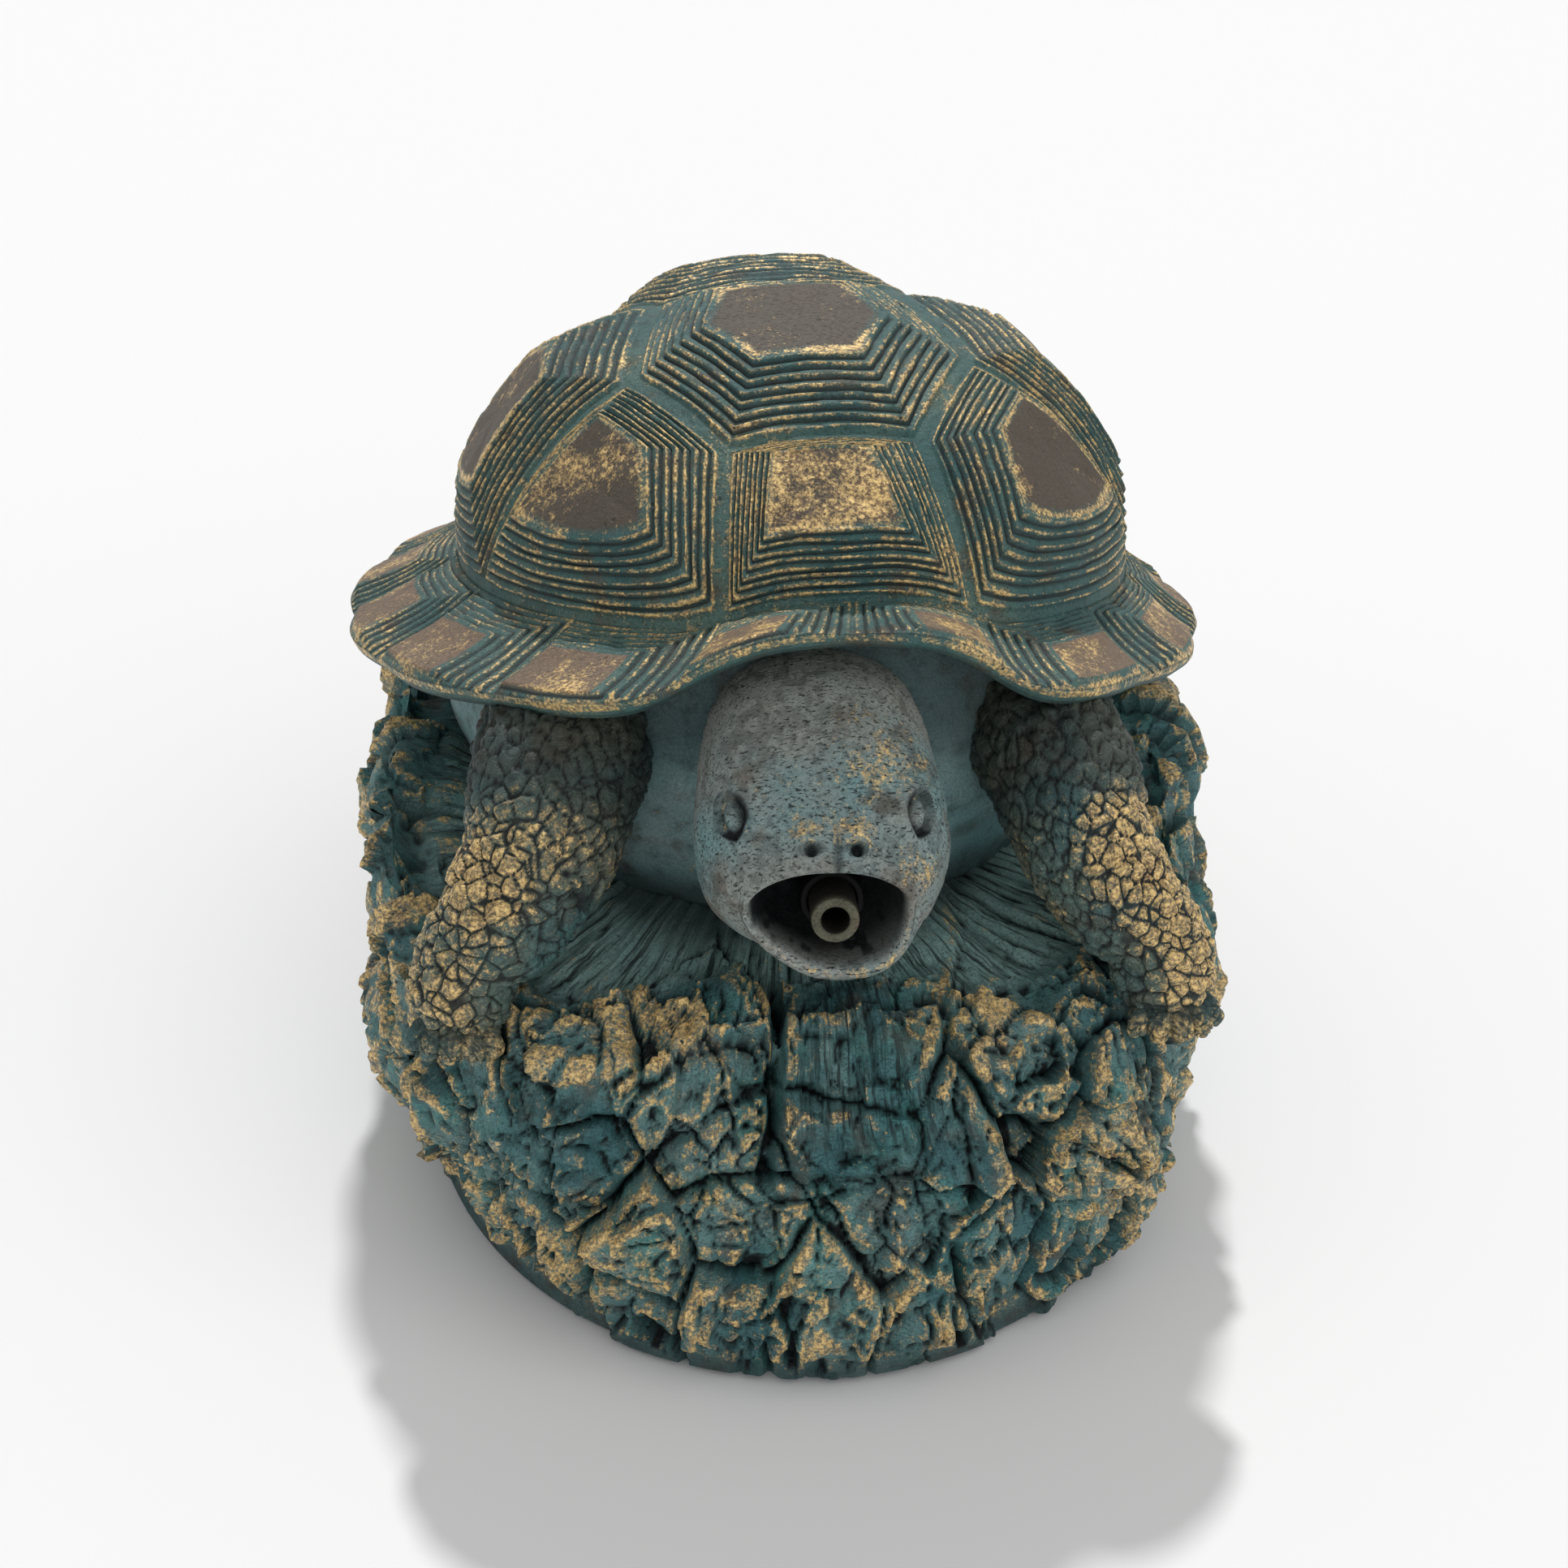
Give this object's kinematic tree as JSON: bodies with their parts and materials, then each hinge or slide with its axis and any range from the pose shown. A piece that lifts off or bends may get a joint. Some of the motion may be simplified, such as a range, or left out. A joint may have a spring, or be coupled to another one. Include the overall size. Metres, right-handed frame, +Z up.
{
  "type": "turtle water spitter",
  "caption": "Garden pond spitter: a tortoise of patinated cast resin on a hollow cast rock, spouting water from a tube in its open mouth, fed by a hose tail at the back.",
  "frame": {"origin": "middle of the part's box, on the ground under the foot pads", "axes": "+Z up, the tortoise looks along -Y, and its own left side is at +X"},
  "size_m": [0.2142, 0.2756, 0.2023],
  "materials": {
    "shell_patina": "cold-cast resin, dark plates, blue-green patina in the grooves, gold dry-brushed ridges",
    "skin_patina": "cold-cast resin, smooth blue-grey patina",
    "head_patina": "cold-cast resin, grey-blue patina with fine pores and a little gold",
    "scale_patina": "cold-cast resin, cracked scales, gold dry-brushed tops",
    "rock_patina": "cold-cast resin, blue-green patina, dark cracks, gold dry-brushed edges",
    "bronzed_tube": "dull bronzed tube",
    "bush_rubber": "matt black rubber",
    "clear_hose": "cloudy flexible vinyl",
    "spring_steel": "plated spring steel",
    "inlet_plastic": "moulded black nylon",
    "gasket_rubber": "soft black rubber",
    "pad_rubber": "matt black rubber"
  },
  "bodies": {
    "root": {"carapace": "shell_patina", "turtle_body": "skin_patina", "head": "head_patina", "front_leg_left": "scale_patina", "front_leg_right": "scale_patina", "hind_leg_left": "scale_patina", "hind_leg_right": "scale_patina", "rock_base": "rock_patina", "nozzle_tube": "bronzed_tube", "nozzle_bush": "bush_rubber", "supply_hose": "clear_hose", "hose_clip_nozzle": "spring_steel", "hose_clip_inlet": "spring_steel", "inlet_fitting": "inlet_plastic", "inlet_nut": "inlet_plastic", "inlet_gasket": "gasket_rubber", "foot_pad_front_left": "pad_rubber", "foot_pad_front_right": "pad_rubber", "foot_pad_rear_left": "pad_rubber", "foot_pad_rear_right": "pad_rubber"}
  },
  "joints": []
}
